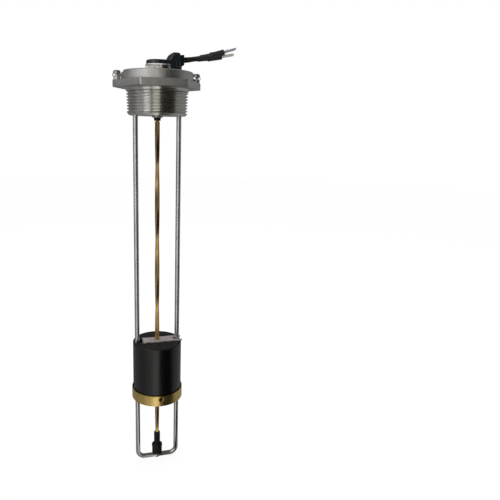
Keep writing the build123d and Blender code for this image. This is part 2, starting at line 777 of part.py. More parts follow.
# Module cover: a thin arched plate over the boss, a ribbed ramp and a tall rear housing
with BuildPart() as cover_plate:
    with BuildSketch(Plane.XY.offset(boss_top_z)) as plate_plan:
        with BuildLine():
            cover_arc = CenterArc((0, 0), cover_arch_radius, 90, 180)
            Polyline(
                cover_arc @ 1,
                (ramp_top_x, -cover_arch_radius),
                (ramp_top_x, cover_arch_radius),
                cover_arc @ 0,
            )
        make_face()
    extrude(amount=cover_plate_thickness)
    fillet(cover_plate.faces().sort_by(Axis.Z)[-1].edges(), cover_edge_radius)
with BuildPart() as module_cover:
    housing_front_x = boss_side_length + board_play
    with BuildSketch(Plane.XY.offset(cover_bottom_z)) as housing_plan:
        with BuildLine():
            front = Polyline(
                (cover_rear_x, cover_arch_radius),
                (housing_front_x, cover_arch_radius),
                (housing_front_x, -cover_arch_radius),
                (cover_rear_x, -cover_arch_radius),
            )
            ThreePointArc(front @ 1, (cover_bulge_x, 0), front @ 0)
        make_face()
        fillet(housing_plan.vertices().group_by(Axis.X)[-1], rear_corner_radius)
    extrude(amount=cover_top_z - cover_bottom_z)
    ramp_foot_z = cover_plate_top_z - ramp_foot
    with BuildSketch(Plane.XY.offset(ramp_foot_z - ramp_foot)) as ramp_plan:
        with Locations(((ramp_foot_x + ramp_top_x) / 2, 0)):
            Rectangle(ramp_top_x - ramp_foot_x, 2 * cover_arch_radius)
    extrude(amount=cover_top_z - ramp_foot_z + ramp_foot)
    with BuildSketch(Plane.XZ.offset(-2 * cover_arch_radius)) as ramp_cut:
        with BuildLine():
            Polyline(
                (ramp_foot_x - cut_margin, ramp_foot_z),
                (ramp_foot_x, ramp_foot_z),
                (ramp_top_x, cover_top_z),
                (cover_bulge_x + cut_margin, cover_top_z),
                (cover_bulge_x + cut_margin, cover_top_z + cut_margin),
                (ramp_foot_x - cut_margin, cover_top_z + cut_margin),
                close=True,
            )
        make_face()
        fillet(ramp_cut.vertices().sort_by_distance((ramp_top_x, cover_top_z))[0], brow_radius)
    extrude(amount=4 * cover_arch_radius, mode=Mode.SUBTRACT)
    shoulders = module_cover.edges().filter_by(lambda edge: edge.center().Z > cover_plate_top_z)
    shoulders = shoulders.filter_by(Axis.Y, reverse=True).filter_by(Axis.Z, reverse=True)
    fillet(shoulders, cover_corner_radius)
    add(cover_plate.part)
    for rib in range(ramp_ribs):
        share = (rib + 1) / (ramp_ribs + 1)
        rib_x = ramp_foot_x + share * (ramp_top_x - ramp_foot_x)
        rib_z = cover_plate_top_z + share * (cover_top_z - cover_plate_top_z)
        with Locations(Plane((rib_x, 0, rib_z), z_dir=(0, 1, 0))):
            Cylinder(ramp_rib_radius, 2 * (cover_arch_radius - cover_corner_radius))
    # The hollow for the block, open at the rear, and the recess for the board under the plate
    cavity_top_z = cover_top_z - cavity_skin
    with BuildSketch(Plane.YZ.offset(cavity_front_x)):
        with Locations((0, (cavity_bottom_z + cavity_top_z) / 2)):
            Rectangle(2 * cavity_half_width, cavity_top_z - cavity_bottom_z)
    extrude(amount=cover_bulge_x, mode=Mode.SUBTRACT)
    board_recess_left = board_left_x - board_play
    with BuildSketch(Plane.XY.offset(boss_top_z)):
        with Locations(((board_recess_left + cavity_front_x) / 2, 0)):
            Rectangle(cavity_front_x - board_recess_left, 2 * (board_half_width + board_play))
    extrude(amount=cover_plate_thickness - board_skin, mode=Mode.SUBTRACT)
    with BuildSketch(Plane.YZ.offset(housing_front_x)) as cover_catch:
        with Locations((0, catch_z + catch_height / 2)):
            Rectangle(catch_width - 2 * board_play, catch_height - 2 * board_play)
    extrude(amount=-catch_depth)

# Lead block: plugs the cover's open rear and holds the two leads
block_front_x = cover_bulge_x - block_depth_x
board_top_z = boss_top_z + cover_plate_thickness - board_skin - board_play
board_bottom_z = board_top_z - board_thickness
with BuildPart() as lead_block:
    with BuildSketch(Plane.YZ.offset(block_front_x)):
        with Locations((0, (cavity_bottom_z + cavity_top_z) / 2)):
            Rectangle(
                2 * (cavity_half_width - fit_clearance),
                cavity_top_z - cavity_bottom_z - 2 * fit_clearance,
            )
    extrude(amount=block_depth_x)
    with BuildSketch(Plane.YZ.offset(cover_bulge_x)):
        with Locations((0, (block_flange_bottom_z + block_flange_top_z) / 2)):
            RectangleRounded(
                2 * cavity_half_width,
                block_flange_top_z - block_flange_bottom_z,
                block_corner_radius,
            )
    extrude(amount=block_flange_x)
    with BuildSketch(Plane.YZ.offset(block_front_x)):
        with Locations((0, (board_top_z + board_bottom_z) / 2)):
            Rectangle(2 * (board_half_width + fit_clearance), board_thickness + 2 * fit_clearance)
    extrude(amount=board_right_x + board_play - block_front_x, mode=Mode.SUBTRACT)
    for route in (upper_route, lower_route):
        first_run = Vector(*route[1]) - Vector(*route[0])
        with BuildSketch(Plane(route[0], z_dir=first_run)):
            Circle(wire_diameter / 2)
        extrude(amount=4 * lead_socket, mode=Mode.SUBTRACT)

with BuildPart() as sensor_board:
    with BuildSketch(Plane.XY.offset(board_bottom_z)):
        with Locations(((board_left_x + board_right_x) / 2, 0)):
            Rectangle(board_right_x - board_left_x, 2 * board_half_width)
    extrude(amount=board_thickness)
with BuildPart() as sensor_chip:
    with BuildSketch(Plane.XY.offset(board_bottom_z)):
        Rectangle(chip_length, chip_width)
    extrude(amount=-(board_bottom_z - boss_top_z - board_play))


def arc_radii(route):
    """The radius of the arc at each corner of a route, from its shorter run and its turn."""
    points = [Vector(*p) for p in route]
    radii = []
    for before, here, after in zip(points, points[1:], points[2:]):
        shorter = min((here - before).length, (after - here).length)
        turn = (here - before).get_angle(after - here)
        radii.append(arc_share * shorter / math.tan(math.radians(turn / 2)))
    return radii


def sweep_tube(points, radii, outer, inner=0.0):
    """A tube along straight runs joined by tangent arcs of the given radii."""
    with BuildPart() as tube:
        with BuildLine() as path:
            FilletPolyline(*points, radius=radii)
        with BuildSketch(Plane(path.line @ 0, z_dir=path.line % 0)):
            Circle(outer)
            if inner:
                Circle(inner, mode=Mode.SUBTRACT)
        sweep()
    length = path.wire().length
    section = math.pi * (outer**2 - inner**2)
    print("tube length", length, "volume", tube.part.volume, "expected", section * length)
    return tube.part


def sleeve_points(route):
    """The sleeve's part of a route: from the middle of one run to the route's end."""
    middle = (Vector(*route[shrink_start]) + Vector(*route[shrink_start + 1])) / 2
    return [tuple(middle), *route[shrink_start + 1:]]


def lead_end(route):
    """The plane at a route's far end: its origin at the end, its X along the lead."""
    last_run = (Vector(*route[-1]) - Vector(*route[-2])).normalized()
    across = Vector(0, 0, 1).cross(last_run).normalized()
    normal = last_run.cross(across).rotate(Axis((0, 0, 0), last_run), terminal_roll)
    return Plane(route[-1], x_dir=last_run, z_dir=normal)


def make_terminal(route):
    """A flat male spade with shoulders and a round crimp barrel inside the sleeve."""
    end_plane = lead_end(route)
    with BuildPart() as terminal:
        with BuildSketch(end_plane.offset(-terminal_thickness / 2)):
            with BuildLine():
                Polyline(
                    (0, -terminal_neck_half),
                    (terminal_neck_length, -terminal_shoulder / 2),
                    (terminal_shoulder_length, -terminal_shoulder / 2),
                    (terminal_shoulder_length, -terminal_width / 2),
                    (terminal_length - terminal_chamfer, -terminal_width / 2),
                    (terminal_length, -terminal_width / 2 + terminal_chamfer),
                    (terminal_length, terminal_width / 2 - terminal_chamfer),
                    (terminal_length - terminal_chamfer, terminal_width / 2),
                    (terminal_shoulder_length, terminal_width / 2),
                    (terminal_shoulder_length, terminal_shoulder / 2),
                    (terminal_neck_length, terminal_shoulder / 2),
                    (0, terminal_neck_half),
                    close=True,
                )
            make_face()
            with Locations(((terminal_length + terminal_shoulder_length) / 2, 0)):
                Circle(terminal_hole_radius, mode=Mode.SUBTRACT)
        extrude(amount=terminal_thickness)
    return terminal.part


pieces = {
    "head_casting": head_casting.part,
    "guide_rod": guide_rod.part,
    "spiral_bar": spiral_bar.part,
    "magnet_carrier": magnet_carrier.part,
    "drive_magnet": drive_magnet.part,
    "upper_collar": upper_collar.part,
    "upper_bush": upper_bush.part,
    "lower_sleeve": lower_sleeve.part,
    "foot_bearing": foot_bearing.part,
    "float_body": float_body.part,
    "drive_plate": drive_plate.part,
    "float_ring": float_ring.part,
    "ring_pin": ring_pin.part,
    "dial_base": dial_base.part,
    "dial_face": dial_face.part,
    "pointer_pivot": pointer_pivot.part,
    "pointer": pointer.part,
    "pointer_magnet": pointer_magnet.part,
    "dial_lens": dial_lens.part,
    "dial_seal": dial_seal.part,
    "dial_screw_far": make_dial_screw(-screw_offset),
    "dial_screw_lead": make_dial_screw(screw_offset),
    "lock_washer_far": make_lock_washer(-screw_offset),
    "lock_washer_lead": make_lock_washer(screw_offset),
    "module_cover": module_cover.part,
    "lead_block": lead_block.part,
    "sensor_board": sensor_board.part,
    "sensor_chip": sensor_chip.part,
}
for name, route in (("upper", upper_route), ("lower", lower_route)):
    radii = arc_radii(route)
    print("arc radii of the", name, "lead", [round(r, 1) for r in radii])
    pieces["wire_" + name] = sweep_tube(route, radii, wire_diameter / 2)
    pieces["shrink_" + name] = sweep_tube(
        sleeve_points(route),
        radii[shrink_start:],
        shrink_outer_radius,
        wire_diameter / 2 + fit_clearance,
    )
    pieces["terminal_" + name] = make_terminal(route)

for name, piece in pieces.items():
    piece.label = name
    export_step(piece, "parts/" + name + ".step")
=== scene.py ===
import bmesh
import bpy
import math
from mathutils import Matrix, Vector


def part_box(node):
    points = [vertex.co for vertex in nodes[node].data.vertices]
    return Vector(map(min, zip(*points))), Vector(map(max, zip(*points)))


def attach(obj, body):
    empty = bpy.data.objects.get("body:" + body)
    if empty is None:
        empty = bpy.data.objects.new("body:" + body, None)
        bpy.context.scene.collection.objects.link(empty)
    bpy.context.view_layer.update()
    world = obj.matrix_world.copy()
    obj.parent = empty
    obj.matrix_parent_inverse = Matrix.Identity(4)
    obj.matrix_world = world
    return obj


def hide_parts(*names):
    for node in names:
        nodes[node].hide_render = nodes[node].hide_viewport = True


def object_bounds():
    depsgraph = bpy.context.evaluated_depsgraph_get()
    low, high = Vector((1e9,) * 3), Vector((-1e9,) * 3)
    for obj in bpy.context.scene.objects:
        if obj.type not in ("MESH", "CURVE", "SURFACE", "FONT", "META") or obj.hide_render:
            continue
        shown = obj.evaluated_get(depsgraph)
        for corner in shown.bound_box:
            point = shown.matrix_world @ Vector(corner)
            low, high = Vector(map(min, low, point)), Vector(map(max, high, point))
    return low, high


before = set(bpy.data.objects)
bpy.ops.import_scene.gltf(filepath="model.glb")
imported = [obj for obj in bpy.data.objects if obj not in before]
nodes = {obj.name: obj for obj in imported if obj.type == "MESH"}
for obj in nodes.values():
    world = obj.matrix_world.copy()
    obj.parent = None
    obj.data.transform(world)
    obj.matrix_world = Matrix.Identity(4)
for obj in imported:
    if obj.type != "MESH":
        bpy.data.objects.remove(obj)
cad_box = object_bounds()

# Lengths are in metres, apart from those whose comment says mm
MM = 0.001

# Mesh code: points nearer to each other than this are joined, and shorter edges are dissolved
MERGE_DISTANCE = 0.002 * MM
SLIVER_LENGTH = 0.001 * MM

# The camera stands where the photograph's lens stood, turned about the gauge's axis. Its sensor
# and lens are in mm
CAMERA_AZIMUTH = math.radians(-14.55)
CAMERA_PITCH = math.radians(13.02)
CAMERA_ROLL = math.radians(1.19)
CAMERA_DISTANCE = 418.7 * MM
CAMERA_SIDE = 35.85 * MM
CAMERA_AIM_Z = -128.22 * MM
CAMERA_SENSOR = 36
CAMERA_LENS = 35.99
CAMERA_SHIFT = 0.10
CAMERA_CLIP_START = 10 * MM

# Room: its light on matt surfaces, then the share of plain white in what the floor shows, and
# that white's strength
ROOM_LEVEL = 0.75
FLOOR_SHARE = 0.85
FLOOR_WHITE = 1.04
FLOOR_RADIUS = 3.0
FLOOR_SEGMENTS = 96
FLOOR_GAP = 0.2 * MM

# Cards that metal and gloss reflect: the profile in radius and height, then for each card its
# first and last bearing in degrees to the right of the photograph's lens, its level at the near
# and at the far distance, and its tint
CARD_PROFILE = [(0.001, -0.3245), (1.6, -0.3245), (1.6, 1.4), (0.01, 2.1)]
CARD_STEPS = 24
CARD_DIMMEST = 0.92
CARD_NEAR = 0.45
CARD_FAR = 1.25
CARDS = [
    ("card_back", -210, -150, 0.22, 0.22, (1.0, 1.0, 1.0)),
    ("card_left", -150, -95, 0.26, 0.24, (0.98, 0.98, 1.0)),
    ("card_side", -95, -46, 0.29, 0.24, (0.98, 0.98, 1.0)),
    ("card_silver", -46, -22, 0.45, 1.50, (1.0, 1.0, 1.0)),
    ("card_gap", -22, -12, 0.60, 0.05, (1.0, 1.0, 0.97)),
    ("card_front", -12, 14, 1.20, 1.08, (1.0, 0.97, 0.90)),
    ("card_dark", 14, 80, 0.006, 0.02, (1.0, 1.0, 0.95)),
    ("card_right", 80, 150, 0.34, 0.40, (0.95, 1.0, 0.95)),
]

# Lamps: place, aim, size, power in watts, and whether gloss and metal reflect them
LAMPS = [
    ("key", (-0.98, -0.32, 0.45), (0, 0, -0.12), (1.25, 0.9), 2.5, True),
    ("top", (0.1, 0.1, 0.95), (0, 0, 0), (1.1, 1.1), 5, False),
]

# Materials: the noise's roughness, and the normal's Z on flat tops and on walls
NOISE_ROUGHNESS = 0.55
FLAT_NORMAL_Z = 0.8
WALL_NORMAL_Z = 0.4

# Heights between which the bar goes from golden to brown, and the float from satin to dull
BAR_TARNISH = (-220 * MM, -60 * MM)
FLOAT_TOP = (-210.9 * MM, -210.5 * MM)

# Lens: heights over which the boss's wall turns cloudy, and over which painted shade under the
# module dims it, then the direction of the painted shade at its rear and the distances from the
# axis over which that starts
BOSS_FOOT = (9.9 * MM, 11.5 * MM)
BOSS_SHADE_TOP = (13.5 * MM, 17.5 * MM)
BOSS_SHADE_SLANT = (0.97, -0.25, 0)
BOSS_SHADE_REAR = (3.6 * MM, 4.6 * MM)

# Pipe thread: it fades out at both ends, and its profile is (share of the pitch, of the depth)
THREAD_PITCH = 2.209 * MM
THREAD_DEPTH = 1.6 * MM
THREAD_TAPER = 1 / 32
THREAD_TOP_RADIUS = 24.15 * MM
THREAD_TOP_Z = -2.2 * MM
THREAD_BOTTOM_Z = -18.8 * MM
THREAD_FADE = 0.5 * MM
THREAD_COLUMNS = 180
THREAD_PROFILE = [(0.0, 0.0), (0.10, 0.0), (0.42, 1.0), (0.54, 1.0), (0.92, 0.0)]

# Surfaces of the head, numbered as its materials, and where they end
CAST, TURNED, RECESS, LEDGE = range(4)
HEXAGON_FOOT_Z = -0.2 * MM
GROOVE_INNER_RADIUS = 22 * MM
RECESS_FLOOR_Z = 2 * MM
RECESS_RADIUS = 25.8 * MM

# Ledge under the lens, a hair lower than in the solids, so that no glass lies in metal, and the
# share of the cast metal's brightness that it keeps, which is painted shade under the lens
LEDGE_Z = 8.0 * MM
LEDGE_DROP = 0.04 * MM
LEDGE_SHADE_SHARE = 0.62

# Leads: the same routes as in the part's source, in mm
WIRE_DIAMETER = 2.7 * MM
UPPER_ROUTE = [
    (19.6, -2.6, 22.6),
    (24.9, -2.75, 22.95),
    (30.1, -3.4, 23.75),
    (35.8, -4.5, 24.8),
    (41.4, -5.55, 26.0),
    (46.6, -6.2, 27.4),
    (51.2, -6.6, 28.8),
]
LOWER_ROUTE = [
    (19.6, 1.9, 21.45),
    (24.7, 2.25, 22.2),
    (29.4, 2.5, 23.25),
    (34.8, 2.3, 24.05),
    (40.4, 1.7, 24.75),
    (46.2, 0.95, 25.55),
    (51.4, 0.2, 26.5),
]

# Shrink sleeves: radius, step and swelling in mm, and where the last two are along the sleeve
SLEEVE_RADIUS = 1.80
SLEEVE_STEP = 0.40
SLEEVE_STEP_AT = 0.41
SLEEVE_STEP_SPREAD = 0.012
SLEEVE_SWELL = 0.20
SLEEVE_SWELL_AT = 0.47
SLEEVE_SWELL_SPREAD = 0.07
SLEEVE_LIP = 0.12 * MM
SLEEVE_INSET = 0.5 * MM
SLEEVE_SEGMENTS = 28

# Drive plate: its outline in mm, with the edges' uneven cuts as (share of the length, depth)
PLATE_TOP_Z = -208.85 * MM
PLATE_BOTTOM_Z = -209.65 * MM
PLATE_BEND = 0.9
PLATE_FRONT_CUTS = [
    (0.07, 0.1), (0.09, 0.8), (0.13, 0.9), (0.17, 0.25), (0.24, 0.05), (0.33, 0.2), (0.45, 0.0),
    (0.52, 0.15), (0.555, 0.9), (0.60, 0.5), (0.64, 0.1), (0.75, 0.35), (0.85, 0.15), (0.95, 0.3),
]
PLATE_REAR_CUTS = [
    (0.94, 0.1), (0.85, 0.35), (0.72, 0.15), (0.62, 0.5), (0.55, 0.6), (0.48, 0.2), (0.36, 0.45),
    (0.25, 0.7), (0.18, 0.35), (0.08, 0.8),
]
FORK_CENTRE = 16.7
FORK_HALF = 3.0
FORK_STEPS = 12
HOLE_TURN = math.radians(34.5)
HOLE_REACH = 2.23
TAB_STEPS = 4

# Screws: painted shade and dirt in the cross recess fill a ball that just touches the head's
# top, and they thin out between these two depths under the ball's surface
SCREW_SHADE_AND_DIRT_DEPTH = 2.05 * MM
SCREW_SHADE_AND_DIRT_EDGE = (0.12 * MM, 0.02 * MM)

# Ring: where its pin is, and how far the dent and the painted shade round it reach
PIN_PLACE = (0, -22 * MM, -255.2 * MM)
PIN_SHADE_REACH = 2.2 * MM
PIN_DENT = 1.3 * MM

# Printed scale of the dial: letters with their size and centre in mm and their turn in degrees
DIAL_TOP_Z = 5.8 * MM
MARK_THICKNESS = 0.06 * MM
MARK_LETTERS = [
    ("1", 2.15, (-15.05, -1.55), 0),
    ("/", 2.0, (-14.95, -0.14), 0),
    ("2", 2.15, (-15.05, 1.70), 0),
    ("1", 2.15, (-4.5, -14.5), 0),
    ("/", 2.0, (-3.6, -13.3), -20),
    ("4", 2.15, (-2.0, -12.3), 0),
    ("3", 2.15, (-8.4, 12.2), 0),
    ("/", 2.0, (-6.6, 13.4), -20),
    ("4", 2.15, (-5.0, 14.3), 0),
    ("E", 2.15, (5.34, -11.6), 0),
    ("F", 2.15, (5.62, 11.7), 0),
]

# Letters: width as a share of the size, and strokes in shares of the width and the height
LETTER_WIDTH = 0.80
LETTER_STROKE = 0.60 * MM
LETTER_STROKES = {
    "1": [[(0.25, 0.80), (0.55, 1.0), (0.55, 0.0)]],
    "2": [[(0.10, 0.74), (0.20, 0.92), (0.45, 1.0), (0.72, 0.93), (0.82, 0.74), (0.70, 0.50),
           (0.08, 0.0), (0.88, 0.0)]],
    "3": [[(0.12, 0.86), (0.30, 0.98), (0.50, 1.0), (0.74, 0.91), (0.78, 0.72), (0.62, 0.57),
           (0.40, 0.54)],
          [(0.40, 0.54), (0.70, 0.48), (0.86, 0.28), (0.74, 0.07), (0.46, 0.0), (0.22, 0.03),
           (0.08, 0.16)]],
    "4": [[(0.68, 0.0), (0.68, 1.0), (0.06, 0.34), (0.95, 0.34)]],
    "E": [[(0.80, 1.0), (0.15, 1.0), (0.15, 0.0), (0.82, 0.0)], [(0.15, 0.52), (0.70, 0.52)]],
    "F": [[(0.15, 0.0), (0.15, 1.0), (0.80, 1.0)], [(0.15, 0.52), (0.70, 0.52)]],
    "/": [[(0.10, -0.12), (0.90, 1.12)]],
}

# Dots of the scale: place and radius in mm
DOT_SEGMENTS = 20
MARK_DOTS = [
    (7.52, -10.36, 0.55),
    (-5.81, -11.40, 0.62),
    (-12.80, 0.0, 0.64),
    (-5.81, 11.40, 0.62),
    (7.52, 10.36, 0.45),
    (0.9, -17.0, 0.40),
    (-0.4, 17.1, 0.45),
]


class Shader:
    """A node material with one Principled shader, and short calls for what feeds it.

    The colour and the roughness that it starts with stand in wherever its nodes aren't read.
    """

    def __init__(self, name, color, metallic, roughness):
        self.material = bpy.data.materials.new(name)
        self.material.use_nodes = True
        self.tree = self.material.node_tree
        self.bsdf = self.tree.nodes["Principled BSDF"]
        self.bsdf.inputs["Base Color"].default_value = (*color, 1)
        self.bsdf.inputs["Metallic"].default_value = metallic
        self.bsdf.inputs["Roughness"].default_value = roughness
        self.place = self.tree.nodes.new("ShaderNodeTexCoord").outputs["Object"]

    def set(self, socket, value):
        self.bsdf.inputs[socket].default_value = value

    def node(self, kind, **settings):
        made = self.tree.nodes.new(kind)
        for key, value in settings.items():
            setattr(made, key, value)
        return made

    def link(self, source, target):
        self.tree.links.new(source, target)

    def scaled(self, stretch):
        """Object coordinates, stretched by a factor along each axis."""
        mapping = self.node("ShaderNodeMapping")
        mapping.inputs["Scale"].default_value = stretch
        self.link(self.place, mapping.inputs["Vector"])
        return mapping.outputs["Vector"]

    def noise(self, size, detail, stretch=(1, 1, 1)):
        """Noise with features of about the given size, in metres."""
        made = self.node("ShaderNodeTexNoise")
        made.inputs["Scale"].default_value = 1 / size
        made.inputs["Detail"].default_value = detail
        made.inputs["Roughness"].default_value = NOISE_ROUGHNESS
        self.link(self.scaled(stretch), made.inputs["Vector"])
        return made.outputs["Fac"]

    def two_tone(self, value, dark, light, start=0.3, end=0.7):
        """A colour ramp from dark, up to the start value, to light, from the end value on."""
        made = self.node("ShaderNodeValToRGB")
        stops = ((start, dark), (end, light))
        for element, (place, color) in zip(made.color_ramp.elements, stops):
            element.position = place
            element.color = (*color, 1)
        self.link(value, made.inputs["Fac"])
        return made.outputs["Color"]

    def grey_ramp(self, value, low, high, start=0.3, end=0.7):
        return self.two_tone(value, (low,) * 3, (high,) * 3, start, end)

    def color(self, source):
        self.link(source, self.bsdf.inputs["Base Color"])

    def roughness(self, value, low, high):
        self.link(self.grey_ramp(value, low, high), self.bsdf.inputs["Roughness"])

    def mix(self, share, first, second, blend_type="MIX"):
        """The first colour where share is 0, and the second, or both blended, where it is 1.

        Share is a number or a socket.
        """
        made = self.node("ShaderNodeMix", data_type="RGBA", blend_type=blend_type)
        if isinstance(share, float):
            made.inputs["Factor"].default_value = share
        else:
            self.link(share, made.inputs["Factor"])
        self.link(first, made.inputs["A"])
        self.link(second, made.inputs["B"])
        return made.outputs["Result"]

    def multiply(self, first, second):
        """Two colours multiplied."""
        return self.mix(1.0, first, second, "MULTIPLY")

    def bump(self, height, strength, distance, under=None):
        made = self.node("ShaderNodeBump")
        made.inputs["Strength"].default_value = strength
        made.inputs["Distance"].default_value = distance
        self.link(height, made.inputs["Height"])
        if under is not None:
            self.link(under, made.inputs["Normal"])
        self.link(made.outputs["Normal"], self.bsdf.inputs["Normal"])
        return made.outputs["Normal"]

    def maths(self, operation, first, second=None):
        """Maths on one socket, or on two."""
        made = self.node("ShaderNodeMath", operation=operation)
        self.link(first, made.inputs[0])
        if second is not None:
            self.link(second, made.inputs[1])
        return made.outputs["Value"]

    def measure(self, operation, vector, other=(0, 0, 0)):
        """A number from vector maths, such as a length or the distance to another place."""
        made = self.node("ShaderNodeVectorMath", operation=operation)
        self.link(vector, made.inputs[0])
        made.inputs[1].default_value = other
        return made.outputs["Value"]

    def ranged(self, value, low, high, first=0.0, last=1.0):
        """First where the value is at low, last where it is at high, and in between evenly."""
        made = self.node("ShaderNodeMapRange")
        made.inputs["From Min"].default_value = low
        made.inputs["From Max"].default_value = high
        made.inputs["To Min"].default_value = first
        made.inputs["To Max"].default_value = last
        self.link(value, made.inputs["Value"])
        return made.outputs["Result"]

    def axes(self, vector):
        """The X, Y and Z of a vector."""
        parts = self.node("ShaderNodeSeparateXYZ")
        self.link(vector, parts.inputs["Vector"])
        return parts.outputs

    def height(self, low, high):
        """0 at one height of the gauge and 1 at another."""
        return self.ranged(self.axes(self.place)["Z"], low, high)

    def upright(self):
        """1 on upright walls and 0 on flat tops."""
        normal = self.node("ShaderNodeNewGeometry").outputs["Normal"]
        slope = self.maths("ABSOLUTE", self.axes(normal)["Z"])
        return self.ranged(slope, FLAT_NORMAL_Z, WALL_NORMAL_Z)


def cast_metal(name, share):
    """Sand-blasted cast metal with fine grain and dark blotches, at a share of full brightness."""

    def tone(*color):
        return [value * share for value in color]

    look = Shader(name, tone(0.45, 0.44, 0.43), 1.0, 0.40)
    grain = look.noise(0.55 * MM, 4)
    patches = look.noise(6 * MM, 4)
    blotches = look.two_tone(patches, tone(0.38, 0.37, 0.365), tone(0.54, 0.53, 0.52), end=0.75)
    specks = look.two_tone(grain, tone(0.30, 0.29, 0.285), tone(0.60, 0.59, 0.58), end=0.62)
    look.color(look.mix(0.45, blotches, specks))
    look.roughness(grain, 0.36, 0.52)
    look.bump(grain, 0.35, 0.12 * MM)
    return look.material


def machined_thread():
    """Bright turned metal, with fine turning lines round the axis."""
    look = Shader("machined_thread", (0.62, 0.61, 0.59), 1.0, 0.36)
    look.set("Anisotropic", 0.95)
    look.set("Anisotropic Rotation", 0.25)
    around = look.node("ShaderNodeTangent", direction_type="RADIAL", axis="Z")
    look.link(around.outputs["Tangent"], look.bsdf.inputs["Tangent"])
    lines = look.noise(0.35 * MM, 2, stretch=(0.05, 0.05, 1))
    look.color(look.two_tone(lines, (0.54, 0.53, 0.50), (0.70, 0.69, 0.66)))
    look.roughness(look.noise(3 * MM, 3), 0.28, 0.37)
    look.bump(lines, 0.05, 0.02 * MM)
    return look.material


def recess_metal():
    """The turned steps under the lens, brownish grey and a little shiny."""
    look = Shader("recess_metal", (0.12, 0.105, 0.09), 1.0, 0.30)
    stains = look.noise(4 * MM, 4)
    look.color(look.two_tone(stains, (0.06, 0.05, 0.042), (0.19, 0.165, 0.14)))
    look.roughness(stains, 0.24, 0.38)
    look.bump(look.noise(0.4 * MM, 3), 0.15, 0.08 * MM)
    return look.material


def drawn_steel():
    """Drawn stainless rod, with faint streaks along its length."""
    look = Shader("drawn_steel", (0.56, 0.56, 0.56), 1.0, 0.26)
    streaks = look.noise(0.5 * MM, 3, stretch=(1, 1, 0.03))
    patches = look.noise(14 * MM, 3)
    look.color(look.two_tone(patches, (0.48, 0.48, 0.48), (0.62, 0.62, 0.61)))
    look.roughness(streaks, 0.20, 0.34)
    look.bump(streaks, 0.10, 0.05 * MM)
    return look.material


def pin_steel():
    """Blackened spring steel."""
    look = Shader("pin_steel", (0.05, 0.035, 0.025), 0.7, 0.45)
    stains = look.noise(0.8 * MM, 3)
    look.color(look.two_tone(stains, (0.02, 0.012, 0.008), (0.09, 0.065, 0.045)))
    look.roughness(stains, 0.36, 0.55)
    look.bump(stains, 0.10, 0.04 * MM)
    return look.material


def turned_steel():
    """Turned steel plug, with fine rings round the axis."""
    look = Shader("turned_steel", (0.42, 0.41, 0.39), 1.0, 0.30)
    rings = look.noise(0.4 * MM, 2, stretch=(0.1, 0.1, 1))
    look.color(look.two_tone(rings, (0.33, 0.32, 0.30), (0.52, 0.51, 0.48)))
    look.roughness(rings, 0.24, 0.36)
    look.bump(rings, 0.15, 0.05 * MM)
    return look.material


def zinc_plate():
    """Bright plated screws, with painted shade and dirt in their cross recess."""
    look = Shader("zinc_plate", (0.55, 0.54, 0.51), 1.0, 0.22)
    stains = look.noise(1.5 * MM, 3)
    bright = look.two_tone(stains, (0.30, 0.29, 0.27), (0.43, 0.42, 0.39))
    # Painted shade and dirt, dark in the cross recess
    shade_and_dirt = look.two_tone(stains, (0.03, 0.028, 0.025), (0.07, 0.065, 0.06))
    # The screws are each other's mirror image across X = 0, so that one ball serves both
    parts = look.axes(look.place)
    mirrored = look.node("ShaderNodeCombineXYZ")
    look.link(look.maths("ABSOLUTE", parts["X"]), mirrored.inputs["X"])
    look.link(parts["Y"], mirrored.inputs["Y"])
    look.link(parts["Z"], mirrored.inputs["Z"])
    low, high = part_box("dial_screw_lead")
    centre = ((low.x + high.x) / 2, 0, high.z - SCREW_SHADE_AND_DIRT_DEPTH)
    reach = look.measure("DISTANCE", mirrored.outputs["Vector"], centre)
    inner = SCREW_SHADE_AND_DIRT_DEPTH - SCREW_SHADE_AND_DIRT_EDGE[0]
    outer = SCREW_SHADE_AND_DIRT_DEPTH - SCREW_SHADE_AND_DIRT_EDGE[1]
    look.color(look.mix(look.ranged(reach, inner, outer), shade_and_dirt, bright))
    look.roughness(stains, 0.30, 0.44)
    look.bump(look.noise(0.3 * MM, 2), 0.08, 0.04 * MM)
    return look.material


def bar_brass():
    """Twisted brass bar: brown and tarnished near the head, golden near the float."""
    look = Shader("bar_brass", (0.50, 0.33, 0.10), 1.0, 0.30)
    patches = look.noise(9 * MM, 4, stretch=(1, 1, 0.5))
    bright = look.two_tone(patches, (0.46, 0.28, 0.08), (0.70, 0.47, 0.17))
    dull = look.two_tone(patches, (0.26, 0.15, 0.06), (0.42, 0.26, 0.11))
    look.color(look.mix(look.height(*BAR_TARNISH), bright, dull))
    streaks = look.noise(0.6 * MM, 3, stretch=(1, 1, 0.08))
    look.roughness(streaks, 0.22, 0.40)
    look.bump(streaks, 0.15, 0.06 * MM)
    return look.material


def ring_brass():
    """Rolled brass band with a satin finish, brushed round the float, dented at its pin and with
    painted shade round the pin.
    """
    look = Shader("ring_brass", (0.60, 0.42, 0.14), 1.0, 0.32)
    lines = look.noise(0.7 * MM, 3, stretch=(0.12, 0.12, 1))
    patches = look.noise(8 * MM, 3)
    bright = look.two_tone(patches, (0.58, 0.40, 0.10), (0.74, 0.55, 0.22))
    # Painted shade round the pin and in its dent
    pin_shade = look.two_tone(patches, (0.05, 0.03, 0.01), (0.12, 0.08, 0.03))
    clear = look.ranged(look.measure("DISTANCE", look.place, PIN_PLACE), PIN_DENT, PIN_SHADE_REACH)
    look.color(look.mix(clear, pin_shade, bright))
    look.roughness(lines, 0.26, 0.38)
    look.bump(clear, 0.5, 0.5 * MM, look.bump(lines, 0.08, 0.04 * MM))
    return look.material


